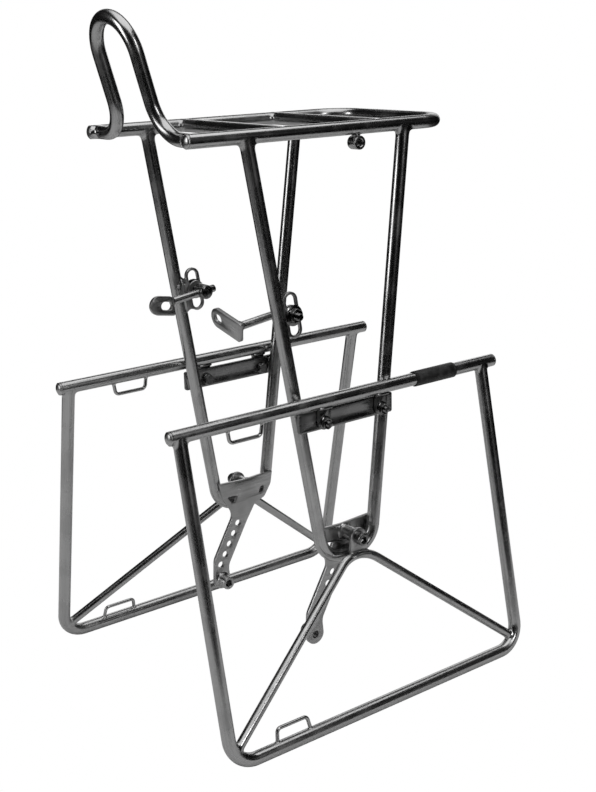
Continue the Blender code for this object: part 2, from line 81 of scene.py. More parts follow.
def arc_at(before, corner, after, radius):
    """Points of the arc that rounds a corner."""
    back = (before - corner).normalized()
    ahead = (after - corner).normalized()
    half = back.angle(ahead) / 2
    centre = corner + (back + ahead).normalized() * radius / math.sin(half)
    start = corner + back * radius / math.tan(half) - centre
    end = corner + ahead * radius / math.tan(half) - centre
    sweep = start.angle(end)
    steps = max(3, math.ceil(sweep / BEND_STEP))
    return [centre + start * (math.sin((1 - i / steps) * sweep) / math.sin(sweep))
            + end * (math.sin(i / steps * sweep) / math.sin(sweep)) for i in range(steps + 1)]


def bent(corners, radii):
    """The centre line of a bent tube, with each inner corner on its bending radius."""
    corners = [Vector(c) for c in corners]
    path = [corners[0]]
    for before, corner, after, radius in zip(corners, corners[1:], corners[2:], radii):
        path += [p for p in arc_at(before, corner, after, radius) if (p - path[-1]).length > 0.01]
    return path + [corners[-1]]


def lay_rings(mesh, rings, runs, girth, joined=False):
    """Skins closed rings of points. Runs and girth are millimetres along and around, for the UV map."""
    uv = mesh.loops.layers.uv.verify()
    made = [[mesh.verts.new(p * MM) for p in ring] for ring in rings]
    count = len(made[0])
    if joined:
        made.append(made[0])
        runs = list(runs) + [runs[-1] + (runs[-1] - runs[-2])]
    for low, high, run_low, run_high in zip(made, made[1:], runs, runs[1:]):
        for i in range(count):
            j = (i + 1) % count
            face = mesh.faces.new((low[i], low[j], high[j], high[i]))
            spots = ((run_low, i), (run_low, i + 1), (run_high, i + 1), (run_high, i))
            for loop, (along, step) in zip(face.loops, spots):
                loop[uv].uv = (along * MM, step * girth / count * MM)
    if not joined:
        mesh.faces.new(made[0])
        mesh.faces.new(made[-1])


def draw_tube(mesh, path, radius, sides=32, domed=False):
    """Skins a round bar along a path without twisting. Its ends are cut and chamfered, or domed."""
    path = [Vector(p) for p in path]
    first = (path[1] - path[0]).normalized()
    last = (path[-1] - path[-2]).normalized()
    if domed:
        steps = [(radius * (1 - math.sin(a)), radius * math.cos(a)) for a in (1.45, 1.1, 0.7, 0.35)]
    else:
        steps = [(0.0, 0.88 * radius), (0.12 * radius, radius)]
    points = ([path[0] + first * d for d, r in steps] + path[1:-1]
              + [path[-1] - last * d for d, r in steps[::-1]])
    radii = [r for d, r in steps] + [radius] * (len(path) - 2) + [r for d, r in steps[::-1]]
    out = first.orthogonal().normalized()
    heading, run, rings, runs = first, 0.0, [], []
    for i, (point, size) in enumerate(zip(points, radii)):
        ahead = (points[min(i + 1, len(points) - 1)] - points[max(i - 1, 0)]).normalized()
        out.rotate(heading.rotation_difference(ahead))
        heading = ahead
        side = heading.cross(out)
        run += (point - points[max(i - 1, 0)]).length
        rings.append([point + (out * math.cos(a) + side * math.sin(a)) * size
                      for a in (2 * math.pi * k / sides for k in range(sides))])
        runs.append(run)
    lay_rings(mesh, rings, runs, 2 * math.pi * radius)


def plating_group():
    """Fine drawn lines, dull patches and pin holes that all the plated pieces share."""
    group = bpy.data.node_groups.new("nickel_plating", "ShaderNodeTree")
    face = group.interface
    face.new_socket("Along", in_out="INPUT", socket_type="NodeSocketVector")
    face.new_socket("Place", in_out="INPUT", socket_type="NodeSocketVector")
    for name, value in (("Line Spacing", 900.0), ("Patch Size", 40.0), ("Pitting", 0.5)):
        face.new_socket(name, in_out="INPUT", socket_type="NodeSocketFloat").default_value = value
    face.new_socket("Metal", in_out="INPUT", socket_type="NodeSocketColor").default_value = (*NICKEL, 1)
    face.new_socket("Colour", in_out="OUTPUT", socket_type="NodeSocketColor")
    face.new_socket("Dulling", in_out="OUTPUT", socket_type="NodeSocketFloat")
    face.new_socket("Relief", in_out="OUTPUT", socket_type="NodeSocketFloat")
    nodes, links = group.nodes, group.links
    given, result = nodes.new("NodeGroupInput"), nodes.new("NodeGroupOutput")

    def noise_of(vector, scale, detail, rough=0.55):
        made = nodes.new("ShaderNodeTexNoise")
        made.inputs["Detail"].default_value = detail
        made.inputs["Roughness"].default_value = rough
        links.new(vector, made.inputs["Vector"])
        if isinstance(scale, float):
            made.inputs["Scale"].default_value = scale
        else:
            links.new(scale, made.inputs["Scale"])
        return made.outputs["Fac"]

    def ramp(value, low, high, to_low=0.0, to_high=1.0):
        made = nodes.new("ShaderNodeMapRange")
        made.interpolation_type = "SMOOTHSTEP"
        for key, number in zip(("From Min", "From Max", "To Min", "To Max"), (low, high, to_low, to_high)):
            made.inputs[key].default_value = number
        links.new(value, made.inputs["Value"])
        return made.outputs["Result"]

    def maths(kind, a, b):
        made = nodes.new("ShaderNodeMath")
        made.operation = kind
        for socket, value in zip(made.inputs, (a, b)):
            if isinstance(value, float):
                socket.default_value = value
            else:
                links.new(value, socket)
        return made.outputs[0]

    squeeze = nodes.new("ShaderNodeVectorMath")
    squeeze.operation = "MULTIPLY"
    squeeze.inputs[1].default_value = (0.006, 1.0, 1.0)
    links.new(given.outputs["Along"], squeeze.inputs[0])
    lines = ramp(noise_of(squeeze.outputs[0], given.outputs["Line Spacing"], 3.0), 0.36, 0.64)
    patches = ramp(noise_of(given.outputs["Place"], given.outputs["Patch Size"], 4.0), 0.42, 0.66)
    grime = ramp(noise_of(given.outputs["Place"], 260.0, 5.0, 0.7), 0.54, 0.78)
    pits = ramp(noise_of(given.outputs["Place"], 1500.0, 2.0), 0.70, 0.80)
    pits = maths("MULTIPLY", pits, given.outputs["Pitting"])
    waves = noise_of(given.outputs["Place"], 170.0, 1.0)

    dull = maths("ADD", maths("MULTIPLY", lines, 0.35), maths("MULTIPLY", patches, 0.45))
    dull = maths("ADD", dull, maths("MULTIPLY", maths("MULTIPLY", grime, patches), 0.5))
    pitted = maths("MINIMUM", maths("ADD", dull, maths("MULTIPLY", pits, 0.6)), 1.0)
    links.new(pitted, result.inputs["Dulling"])

    dark = maths("ADD", maths("MULTIPLY", dull, 0.22), maths("MULTIPLY", pits, 0.6))
    shade = nodes.new("ShaderNodeMix")
    shade.data_type = "RGBA"
    shade.inputs["B"].default_value = (0.05, 0.05, 0.05, 1)
    links.new(dark, shade.inputs["Factor"])
    links.new(given.outputs["Metal"], shade.inputs["A"])
    links.new(shade.outputs["Result"], result.inputs["Colour"])

    height = maths("ADD", maths("MULTIPLY", lines, 0.10), maths("MULTIPLY", waves, 1.4))
    links.new(maths("SUBTRACT", height, maths("MULTIPLY", pits, 0.5)), result.inputs["Relief"])
    return group


PLATING = plating_group()


def plated(name, metal, gloss, spacing=900.0, patch=40.0, pitting=0.5, relief=0.00003):
    """A plated metal: gloss is its roughness where it is bright and where it is dull."""
    made = bpy.data.materials.new(name)
    made.use_nodes = True
    nodes, links = made.node_tree.nodes, made.node_tree.links
    shader = nodes["Principled BSDF"]
    shader.inputs["Metallic"].default_value = 1.0
    where = nodes.new("ShaderNodeTexCoord")
    skin = nodes.new("ShaderNodeGroup")
    skin.node_tree = PLATING
    for key, value in (("Line Spacing", spacing), ("Patch Size", patch), ("Pitting", pitting),
                       ("Metal", (*metal, 1.0))):
        skin.inputs[key].default_value = value
    links.new(where.outputs["UV"], skin.inputs["Along"])
    links.new(where.outputs["Object"], skin.inputs["Place"])
    spread = nodes.new("ShaderNodeMapRange")
    spread.inputs["To Min"].default_value, spread.inputs["To Max"].default_value = gloss
    links.new(skin.outputs["Dulling"], spread.inputs["Value"])
    bump = nodes.new("ShaderNodeBump")
    bump.inputs["Distance"].default_value = relief
    links.new(skin.outputs["Relief"], bump.inputs["Height"])
    links.new(skin.outputs["Colour"], shader.inputs["Base Color"])
    links.new(spread.outputs["Result"], shader.inputs["Roughness"])
    links.new(bump.outputs["Normal"], shader.inputs["Normal"])
    return made


NICKEL_TUBE = plated("nickel_plated_tube", NICKEL, (0.19, 0.40))


def set_down(name, mesh, look, body, stands_for):
    """Makes the object from its mesh, shades it, and puts it on its body in place of its CAD nodes."""
    bmesh.ops.recalc_face_normals(mesh, faces=mesh.faces)
    for face in mesh.faces:
        face.smooth = True
    for edge in mesh.edges:
        edge.smooth = edge.calc_face_angle(0.0) < SHARP_EDGE
    data = bpy.data.meshes.new(name)
    mesh.to_mesh(data)
    mesh.free()
    data.materials.append(look)
    made = bpy.data.objects.new(name, data)
    bpy.context.scene.collection.objects.link(made)
    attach(made, body)
    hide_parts(*stands_for)
    return made


platform = bmesh.new()
draw_tube(platform, bent([(RAIL_X, RAIL_REAR_Y, PLATFORM_Z), (RAIL_X, RAIL_FRONT_Y, PLATFORM_Z),
                          (-RAIL_X, RAIL_FRONT_Y, PLATFORM_Z), (-RAIL_X, RAIL_REAR_Y, PLATFORM_Z)],
                         (PLATFORM_BEND, PLATFORM_BEND)), TUBE_R)
set_down("platform_tube", platform, NICKEL_TUBE, RACK, ["platform_loop"])

# Cross tubes: two straight lengths of the same tube, coped to the rails and fillet brazed.
# The braze metal is filed to a smooth hollow curve all round each joint before plating.
CROSS_Y = {"rear": -37.0, "front": 48.5}
BRAZE_LEG = 3.2


def braze_round(mesh, root, heading, radius, main_at, main_heading, main_radius, leg=BRAZE_LEG, sides=64):
    """The hollow braze fillet where a branch from root along heading meets a round main tube."""
    heading, main_heading = Vector(heading).normalized(), Vector(main_heading).normalized()
    root, main_at = Vector(root), Vector(main_at)
    across = heading.orthogonal().normalized()
    third = heading.cross(across)

    def off_main(point):
        arm = point - main_at
        return arm - main_heading * arm.dot(main_heading)

    rings = []
    for k in range(sides):
        angle = 2 * math.pi * k / sides
        out = across * math.cos(angle) + third * math.sin(angle)
        edge = root + out * radius
        arm, run = off_main(edge), off_main(main_at + heading)
        # the branch's outer line leaves the main tube where it is main_radius from the main tube's axis
        a, b, c = run.dot(run), 2 * arm.dot(run), arm.dot(arm) - main_radius ** 2
        travel = (-b + math.sqrt(max(0.0, b * b - 4 * a * c))) / (2 * a)
        meet = edge + heading * travel
        normal = off_main(meet).normalized()
        away = out - normal * out.dot(normal)
        low = meet + away * leg
        low = low - off_main(low) + off_main(low).normalized() * main_radius
        high = meet + heading * leg
        lift = (out + normal).normalized() * 0.05
        curve = [high.lerp(meet, t).lerp(meet.lerp(low, t), t) + lift for t in (i / 7 for i in range(8))]
        rings.append([high - out * 0.4] + curve + [low - normal * 0.4, meet - (out + normal) * 0.5])
    lay_rings(mesh, rings, [2 * math.pi * radius * k / sides for k in range(sides)], 4 * leg, joined=True)


for place, y in CROSS_Y.items():
    bar = bmesh.new()
    draw_tube(bar, [(-RAIL_X, y, PLATFORM_Z), (RAIL_X, y, PLATFORM_Z)], TUBE_R)
    for s in SIDES.values():
        braze_round(bar, (s * RAIL_X, y, PLATFORM_Z), (-s, 0, 0), TUBE_R,
                    (s * RAIL_X, 0, PLATFORM_Z), (0, 1, 0), TUBE_R)
    set_down(f"cross_tube_{place}", bar, NICKEL_TUBE, RACK, [f"cross_bar_{place}"])

# Backstop: a tall hoop that leans back and keeps the load off the handlebar bag. Its feet flare out
# on a wide bend and run straight into the rails, where they are brazed.
HOOP_Y = -111.3
HOOP_LEAN = math.radians(15.5)
HOOP_HALF = 25.5
HOOP_HEIGHT = 82.5
HOOP_TOP_BEND = HOOP_HALF - 0.01        # all but a half circle
HOOP_FOOT_BEND = 25.0


def on_hoop(x, rise):
    """A point of the hoop's leaning plane."""
    return (x, HOOP_Y - rise * math.sin(HOOP_LEAN), PLATFORM_Z + rise * math.cos(HOOP_LEAN))


hoop = bmesh.new()
draw_tube(hoop, bent([on_hoop(-RAIL_X, 0), on_hoop(-HOOP_HALF, 0), on_hoop(-HOOP_HALF, HOOP_HEIGHT),
                      on_hoop(HOOP_HALF, HOOP_HEIGHT), on_hoop(HOOP_HALF, 0), on_hoop(RAIL_X, 0)],
                     (HOOP_FOOT_BEND, HOOP_TOP_BEND, HOOP_TOP_BEND, HOOP_FOOT_BEND)), TUBE_R)
for s in SIDES.values():
    braze_round(hoop, (s * RAIL_X, HOOP_Y, PLATFORM_Z), (-s, 0, 0), TUBE_R,
                (s * RAIL_X, 0, PLATFORM_Z), (0, 1, 0), TUBE_R)
set_down("backstop_tube", hoop, NICKEL_TUBE, RACK, ["backstop_hoop"])

# End plugs: a turned and domed plug closes each open tube end. It is tapped in up to its lip and has a
# satin finish. The profile is a distance out from the tube's end, and a share of the tube's radius.
PLUG_PROFILE = ((-3.0, 0.78), (-0.1, 0.78), (-0.05, 0.9), (0.1, 0.985), (0.9, 0.985), (1.0, 0.93),
                (1.2, 0.91), (1.6, 0.84), (2.0, 0.70), (2.35, 0.52), (2.62, 0.32), (2.76, 0.14), (2.8, 0.02))


def turn_round(mesh, start, heading, profile, sides=48):
    """Skins a turned piece. Profile holds (distance, radius), and a radius may be a rule of the angle."""
    turn = Vector(heading).to_track_quat("Z", "Y")
    rings, girth = [], 1.0
    for distance, radius in profile:
        ring = []
        for k in range(sides):
            angle = 2 * math.pi * k / sides
            size = radius(angle, distance) if callable(radius) else radius
            girth = max(girth, 2 * math.pi * size)
            spot = Vector((size * math.cos(angle), size * math.sin(angle), distance))
            ring.append(Vector(start) + turn @ spot)
        rings.append(ring)
    runs, run = [0.0], 0.0
    for (d_one, _), (d_two, _), low, high in zip(profile, profile[1:], rings, rings[1:]):
        run += (high[0] - low[0]).length
        runs.append(run)
    lay_rings(mesh, rings, runs, girth)


SATIN_NICKEL = plated("satin_nickel_plug", (0.52, 0.52, 0.52), (0.24, 0.45), pitting=0.8)


def set_plug(name, tube_end, heading, node):
    """A plug in the tube end that faces heading."""
    plug = bmesh.new()
    turn_round(plug, tube_end, heading, [(d, r * TUBE_R) for d, r in PLUG_PROFILE])
    set_down(name, plug, SATIN_NICKEL, RACK, [node])


for side, s in SIDES.items():
    set_plug(f"platform_end_plug_{side}", (s * RAIL_X, RAIL_REAR_Y, PLATFORM_Z), (0, -1, 0),
             f"platform_plug_{side}")

# Lamp boss: a short drilled bush hung under the right rail on a stub, for a headlamp bracket.
LAMP_Y = 25.7
LAMP_DROP = 10.6
LAMP_R = 5.0
LAMP_BORE_R = 2.7
LAMP_LENGTH = 9.0
LAMP_STUB_R = 2.6
LAMP_BRAZE = 1.8
lamp = bmesh.new()
half = LAMP_LENGTH / 2
turn_round(lamp, (RAIL_X, LAMP_Y, PLATFORM_Z - LAMP_DROP), (1, 0, 0),
           [(0, LAMP_BORE_R), (half - 0.4, LAMP_BORE_R), (half, LAMP_BORE_R + 0.4), (half, LAMP_R - 0.5),
            (half - 0.15, LAMP_R - 0.15), (half - 0.5, LAMP_R), (0.5 - half, LAMP_R),
            (0.15 - half, LAMP_R - 0.15), (-half, LAMP_R - 0.5), (-half, LAMP_BORE_R + 0.4),
            (0.4 - half, LAMP_BORE_R), (-0.01, LAMP_BORE_R)])
draw_tube(lamp, [(RAIL_X, LAMP_Y, PLATFORM_Z - 2), (RAIL_X, LAMP_Y, PLATFORM_Z - LAMP_DROP + 3.6)],
          LAMP_STUB_R, 24)
braze_round(lamp, (RAIL_X, LAMP_Y, PLATFORM_Z), (0, 0, -1), LAMP_STUB_R,
            (RAIL_X, 0, PLATFORM_Z), (0, 1, 0), TUBE_R, LAMP_BRAZE, 40)
set_down("lamp_bush_R", lamp, NICKEL_TUBE, RACK, ["lamp_boss_R"])

# Leg loops: each side has one tube bent to a narrow U, its two legs brazed under the platform rail
# and splayed outwards a little on the way down to clear the wheel and the fork.
LEG_TOP_Y = 70.5
LEG_SLOPE = {"rear": 0.166, "front": -0.126}
LEG_SPLAY = 0.022
LEG_DROP = 320.5
LEG_BEND = 20.0
LEG_BRAZE = 4.5


def on_leg(s, place, drop):
    """A point of a leg's axis, below the platform by drop."""
    top = -LEG_TOP_Y if place == "rear" else LEG_TOP_Y
    return Vector((s * (RAIL_X + LEG_SPLAY * drop), top + LEG_SLOPE[place] * drop, PLATFORM_Z - drop))


leg_paths = {}
for side, s in SIDES.items():
    leg_paths[side] = bent([on_leg(s, "rear", 0), on_leg(s, "rear", LEG_DROP), on_leg(s, "front", LEG_DROP),
                            on_leg(s, "front", 0)], (LEG_BEND, LEG_BEND))
    legs = bmesh.new()
    draw_tube(legs, leg_paths[side], TUBE_R)
    for place in LEG_SLOPE:
        down = on_leg(s, place, 1) - on_leg(s, place, 0)
        braze_round(legs, on_leg(s, place, 0), down, TUBE_R,
                    (s * RAIL_X, 0, PLATFORM_Z), (0, 1, 0), TUBE_R, LEG_BRAZE)
    set_down(f"leg_tube_{side}", legs, NICKEL_TUBE, RACK, [f"leg_loop_{side}"])

# Slotted lugs: a flat steel lug ahead of each rear leg, slotted along the leg so that the strut's clamp
# can be set higher or lower. It is blanked from sheet, and the web at its back is brazed to the leg.
# Web points are millimetres back from the middle of the slot, and along it.
SHEET = 3.0
LUG_X = 65.0
LUG_T = 2.5
LUG_R = 6.2
SLOT_CENTRE = Vector((-35.4, 298.8))
SLOT_HALF = 11.3
SLOT_R = 4.1
SLOT_RUN = Vector((-LEG_SLOPE["rear"], 1.0)).normalized()
SLOT_BACK = Vector((-SLOT_RUN.y, SLOT_RUN.x))
WEB_HEAD = ((6.5, 10.9), (7.2, 10.7), (8.3, 11.3), (9.6, 12.7), (11.6, 15.4))
WEB_FOOT = ((11.6, -16.8), (9.0, -15.2), (7.0, -14.7))
WEB_SKIP = 5                  # points of the lug's lower end that the web takes the place of
WEB_BRAZE = ((LUG_X - 1.0, 10.9), (LUG_X + 1.2, 9.0))        # each run's x, and how far back it lies
WEB_BRAZE_RUN = (-14.0, 11.5)
WEB_BRAZE_R = 1.3


def disc(centre, radius, count=40):
    """A circle of points."""
    return [Vector((centre[0] + radius * math.cos(2 * math.pi * i / count),
                    centre[1] + radius * math.sin(2 * math.pi * i / count))) for i in range(count)]


def half_round(centre, radius, start, steps=20):
    """Half a circle of points from the angle start, turning to the left."""
    return [Vector((centre[0] + radius * math.cos(start + math.pi * i / steps),
                    centre[1] + radius * math.sin(start + math.pi * i / steps))) for i in range(steps + 1)]


def round_slot(low, high, radius):
    """A slot with round ends about low and high."""
    heading = math.atan2(high[1] - low[1], high[0] - low[0])
    return half_round(high, radius, heading - math.pi / 2) + half_round(low, radius, heading + math.pi / 2)


def blank(outlines, x_middle, thickness=SHEET, edge=0.35, place=None):
    """A sheet blank with rubbed-down edges. Outlines are in (y, z): the outer edge, then any holes."""
    curve = bpy.data.curves.new("blank", "CURVE")
    curve.dimensions = "2D"
    curve.fill_mode = "BOTH"
    for n, outline in enumerate(outlines):
        area = sum(a[0] * b[1] - b[0] * a[1] for a, b in zip(outline, outline[1:] + outline[:1]))
        if (area > 0) == (n > 0):
            outline = outline[::-1]
        spline = curve.splines.new("POLY")
        spline.points.add(len(outline) - 1)
        for target, (y, z) in zip(spline.points, outline):
            target.co = (y * MM, z * MM, 0.0, 1.0)
        spline.use_cyclic_u = True
    curve.extrude = (thickness / 2 - edge) * MM
    curve.bevel_depth = edge * MM
    curve.bevel_resolution = 1
    curve.offset = -edge * MM
    holder = bpy.data.objects.new("blank", curve)
    bpy.context.scene.collection.objects.link(holder)
    data = bpy.data.meshes.new_from_object(holder)
    bpy.data.objects.remove(holder, do_unlink=True)
    mesh = bmesh.new()
    mesh.from_mesh(data)
    bpy.data.meshes.remove(data)
    bmesh.ops.remove_doubles(mesh, verts=mesh.verts, dist=1e-7)
    uv = mesh.loops.layers.uv.verify()
    for face in mesh.faces:
        for loop in face.loops:
            loop[uv].uv = loop.vert.co.xy
    upright = Matrix(((0, 0, 1, x_middle * MM), (1, 0, 0, 0), (0, 1, 0, 0), (0, 0, 0, 1)))
    mesh.transform(upright if place is None else place @ upright)
    return mesh


def run_braze(mesh, path, radius):
    """A smooth run of braze metal laid in a corner."""
    draw_tube(mesh, path, radius, 16, domed=True)


NICKEL_SHEET = plated("nickel_plated_sheet", (0.47, 0.47, 0.47), (0.26, 0.48), spacing=520.0, patch=60.0)

for side, s in SIDES.items():
    low, high = SLOT_CENTRE - SLOT_RUN * SLOT_HALF, SLOT_CENTRE + SLOT_RUN * SLOT_HALF
    web = [SLOT_CENTRE + SLOT_BACK * back + SLOT_RUN * along for back, along in WEB_HEAD + WEB_FOOT]
    rim = round_slot(low, high, LUG_R)
    half = len(rim) // 2
    outline = rim[:half] + web + rim[half + WEB_SKIP:]
    lug = blank([outline, round_slot(low, high, SLOT_R)], s * LUG_X, LUG_T)
    for x, back in WEB_BRAZE:
        foot, head = (SLOT_CENTRE + SLOT_BACK * back + SLOT_RUN * along for along in WEB_BRAZE_RUN)
        foot, head = Vector((s * x, foot.x, foot.y)), Vector((s * x, head.x, head.y))
        run_braze(lug, [foot, foot.lerp(head, 0.5), head], WEB_BRAZE_R)
    set_down(f"strut_lug_{side}", lug, NICKEL_SHEET, RACK, [f"slotted_lug_{side}"])

# Dropout plates: a gusset brazed across the bottom of each leg loop, with two lightening windows and a
# drilled strap that hangs from it. The strap's holes set the rack's height on the fork.
DROPOUT_X = 65.2
STRAP_HALF = 8.0
STRAP_TOP = Vector((-1.4, 94.5))
STRAP_KINK = Vector((-22.3, 58.0))
STRAP_END = Vector((-22.3, 42.5))
STRAP_HOLES, STRAP_PITCH, STRAP_FIRST, STRAP_HOLE_R = 5, 9.65, 5.0, 2.8
AXLE_BORE_R = 3.0
GUSSET = {"rear": ((6.0, 127.6), (-21.0, 129.0), (-18.5, 116.0), (-13.0, 107.5)),
          "front": ((14.0, 103.5), (24.5, 107.5), (31.5, 118.0), (33.5, 129.0))}
WINDOWS = (((-14.0, 116.5), (-3.0, 115.0), (-5.5, 109.0), (-10.0, 110.0)),
           ((17.5, 109.5), (23.5, 114.0), (24.5, 118.0), (20.5, 117.5)))
WINDOW_CORNER = 1.2
LOOP_FOOT_Z = 126.0           # below this a leg loop runs along its gusset


def softened(corners, radii):
    """A closed outline with its corners rounded."""
    corners = [Vector((*c, 0.0)) for c in corners]
    outline = []
    for i, (corner, radius) in enumerate(zip(corners, radii)):
        before, after = corners[i - 1], corners[(i + 1) % len(corners)]
        if radius == 0 or (before - corner).angle(after - corner) > 3.12:
            outline.append(corner.xy)
        else:
            outline += [p.xy for p in arc_at(before, corner, after, radius)]
    return outline


def with_arc(outline, arc):
    """Puts an arc in a closed outline, in place of its two corners at the arc's ends."""
    cut = min(range(len(outline)), key=lambda i: (outline[i] - arc[0]).length)
    return outline[:cut] + arc + outline[cut + 2:]


slope = (STRAP_KINK - STRAP_TOP).normalized()
across = Vector((-slope.y, slope.x)) * STRAP_HALF
foot_arc = half_round(STRAP_END, STRAP_HALF, math.pi)
gusset_corners = [*GUSSET["rear"], STRAP_TOP - across, STRAP_KINK - across, foot_arc[0],
                  foot_arc[-1], STRAP_KINK + across, STRAP_TOP + across, *GUSSET["front"]]
gusset_radii = [60.0, 0.8, 12.0, 8.0, 9.0, 12.0, 0.0,
                0.0, 12.0, 6.0, 5.0, 6.0, 10.0, 0.8]
gusset_outline = with_arc(softened(gusset_corners, gusset_radii), foot_arc)
for side, s in SIDES.items():
    holes = [disc(STRAP_TOP + slope * (STRAP_FIRST + i * STRAP_PITCH), STRAP_HOLE_R)
             for i in range(STRAP_HOLES)]
    windows = [softened(corners, (WINDOW_CORNER,) * 4) for corners in WINDOWS]
    gusset = blank([gusset_outline] + windows + holes + [disc(STRAP_END, AXLE_BORE_R)], s * DROPOUT_X)
    bottom = [p for p in leg_paths[side] if p.z < LOOP_FOOT_Z]
    run_braze(gusset, [Vector((s * (DROPOUT_X + 1.9), p.y, p.z)) for p in bottom], 1.5)
    set_down(f"dropout_gusset_{side}", gusset, NICKEL_SHEET, RACK, [f"dropout_plate_{side}"])

# Dropout bosses: a turned bush on the inner face of each strap's foot, brazed on and bored for the
# screw that goes into the fork's eyelet.
BOSS_R = 5.5
BOSS_LENGTH = 9.6
GAP = 0.3
for side, s in SIDES.items():
    boss = bmesh.new()
    root = DROPOUT_X - SHEET / 2
    end = GAP + BOSS_LENGTH
    turn_round(boss, (s * root, STRAP_END.x, STRAP_END.y), (-s, 0, 0),
               [(2, AXLE_BORE_R), (end - 0.5, AXLE_BORE_R), (end, AXLE_BORE_R + 0.5), (end, BOSS_R - 0.6),
                (end - 0.2, BOSS_R - 0.2), (end - 0.6, BOSS_R), (1.8, BOSS_R), (1.0, BOSS_R + 0.25),
                (0.4, BOSS_R + 0.8), (-0.05, BOSS_R + 1.5), (-0.3, BOSS_R + 1.5), (-0.3, AXLE_BORE_R),
                (1.9, AXLE_BORE_R)])
    set_down(f"dropout_bush_{side}", boss, NICKEL_SHEET, RACK, [f"dropout_boss_{side}"])

# Mounting bars: a flat strip brazed across the outside of each leg loop, drilled for the two bolts
# that hold the pannier frame. It is nickel plated like the tubes, and its colour is made darker to paint in
# the shade it sits in.
BAR_X = 77.0
BAR_Y = (-41.5, 47.0)
BAR_Z = (213.0, 228.4)
BOLT_Y = {"rear": -20.5, "front": 34.0}
BOLT_Z = 219.0
M5_R = 2.5
BAR_CORNER = 1.5
BAR_BRAZE_OUT, BAR_BRAZE_ALONG, BAR_BRAZE_R = 4.4, 3.4, 1.5      # from the leg's axis, and its size
# painted shade: this dark base colour stands for shade on the strips and tabs, which are nickel like the
# tubes
STRIP_PAINTED_SHADE = plated("plated_strip_painted_shade", (0.24, 0.24, 0.24), (0.20, 0.40),
                    spacing=520.0, patch=60.0, pitting=0.9)
for side, s in SIDES.items():
    corners = [(BAR_Y[0], BAR_Z[0]), (BAR_Y[1], BAR_Z[0]), (BAR_Y[1], BAR_Z[1]), (BAR_Y[0], BAR_Z[1])]
    bolt_holes = [disc((y, BOLT_Z), M5_R + GAP) for y in BOLT_Y.values()]
    strip = blank([softened(corners, (BAR_CORNER,) * 4)] + bolt_holes, s * BAR_X)
    for place in LEG_SLOPE:
        for offset in (-BAR_BRAZE_ALONG, BAR_BRAZE_ALONG):
            low, high = (on_leg(s, place, PLATFORM_Z - z) + Vector((s * BAR_BRAZE_OUT, offset, 0))
                         for z in (BAR_Z[0] + 1.2, BAR_Z[1] - 1.2))
            run_braze(strip, [low, low.lerp(high, 0.5), high], BAR_BRAZE_R)
    set_down(f"mounting_strip_{side}", strip, STRIP_PAINTED_SHADE, RACK, [f"mounting_bar_{side}"])

# Pannier top tubes: a straight tube down each side that the bags hook over.
PANNIER_TOP = (80.5, 235.0)
PANNIER_BOTTOM = (128.5, 5.0)
PANNIER_HALF = 151.0
SIDE_TUBE_Y = {"rear": -143.8, "front": 138.8}
PANNIER_BEND = 20.0

for side, s in SIDES.items():
    top = bmesh.new()
    draw_tube(top, [(s * PANNIER_TOP[0], -PANNIER_HALF, PANNIER_TOP[1]),
                    (s * PANNIER_TOP[0], PANNIER_HALF, PANNIER_TOP[1])], TUBE_R)
    set_down(f"pannier_top_tube_{side}", top, NICKEL_TUBE, RACK, [f"pannier_rail_{side}"])
    for place, heading in (("rear", -1.0), ("front", 1.0)):
        tube_end = (s * PANNIER_TOP[0], heading * PANNIER_HALF, PANNIER_TOP[1])
        set_plug(f"top_tube_plug_{place}_{side}", tube_end, (0, heading, 0), f"rail_plug_{place}_{side}")

# Grip sleeve: a plain black rubber sleeve pushed on to the right top tube, with a groove near each end.
SLEEVE_Y = (67.0, 108.0)
SLEEVE_R = 6.0
black_rubber = bpy.data.materials.new("black_rubber")
black_rubber.use_nodes = True
rubber_nodes, rubber_links = black_rubber.node_tree.nodes, black_rubber.node_tree.links
rubber_shader = rubber_nodes["Principled BSDF"]
rubber_place = rubber_nodes.new("ShaderNodeTexCoord")
rubber_grain = rubber_nodes.new("ShaderNodeTexNoise")
rubber_grain.inputs["Scale"].default_value = 1400.0
rubber_grain.inputs["Detail"].default_value = 4.0
rubber_scuff = rubber_nodes.new("ShaderNodeTexNoise")
rubber_scuff.inputs["Scale"].default_value = 160.0
rubber_scuff.inputs["Detail"].default_value = 5.0
rubber_tone = rubber_nodes.new("ShaderNodeValToRGB")
for stop, position, tone in zip(rubber_tone.color_ramp.elements, (0.45, 0.75), (0.010, 0.055)):
    stop.position, stop.color = position, (tone, tone, tone, 1)
rubber_gloss = rubber_nodes.new("ShaderNodeMapRange")
rubber_gloss.inputs["To Min"].default_value, rubber_gloss.inputs["To Max"].default_value = 0.38, 0.72
rubber_bump = rubber_nodes.new("ShaderNodeBump")
rubber_bump.inputs["Distance"].default_value = 0.00008
for socket in (rubber_grain.inputs["Vector"], rubber_scuff.inputs["Vector"]):
    rubber_links.new(rubber_place.outputs["Object"], socket)
rubber_links.new(rubber_scuff.outputs["Fac"], rubber_tone.inputs["Fac"])
rubber_links.new(rubber_scuff.outputs["Fac"], rubber_gloss.inputs["Value"])
rubber_links.new(rubber_grain.outputs["Fac"], rubber_bump.inputs["Height"])
rubber_links.new(rubber_tone.outputs["Color"], rubber_shader.inputs["Base Color"])
rubber_links.new(rubber_gloss.outputs["Result"], rubber_shader.inputs["Roughness"])
rubber_links.new(rubber_bump.outputs["Normal"], rubber_shader.inputs["Normal"])
sleeve = bmesh.new()
length = SLEEVE_Y[1] - SLEEVE_Y[0]
bore = TUBE_R + 0.02
sleeve_end = [(0.2, bore), (0, bore + 0.2), (0.05, SLEEVE_R - 0.35), (0.4, SLEEVE_R - 0.05),
              (1.6, SLEEVE_R), (2.0, SLEEVE_R - 0.18), (2.4, SLEEVE_R)]
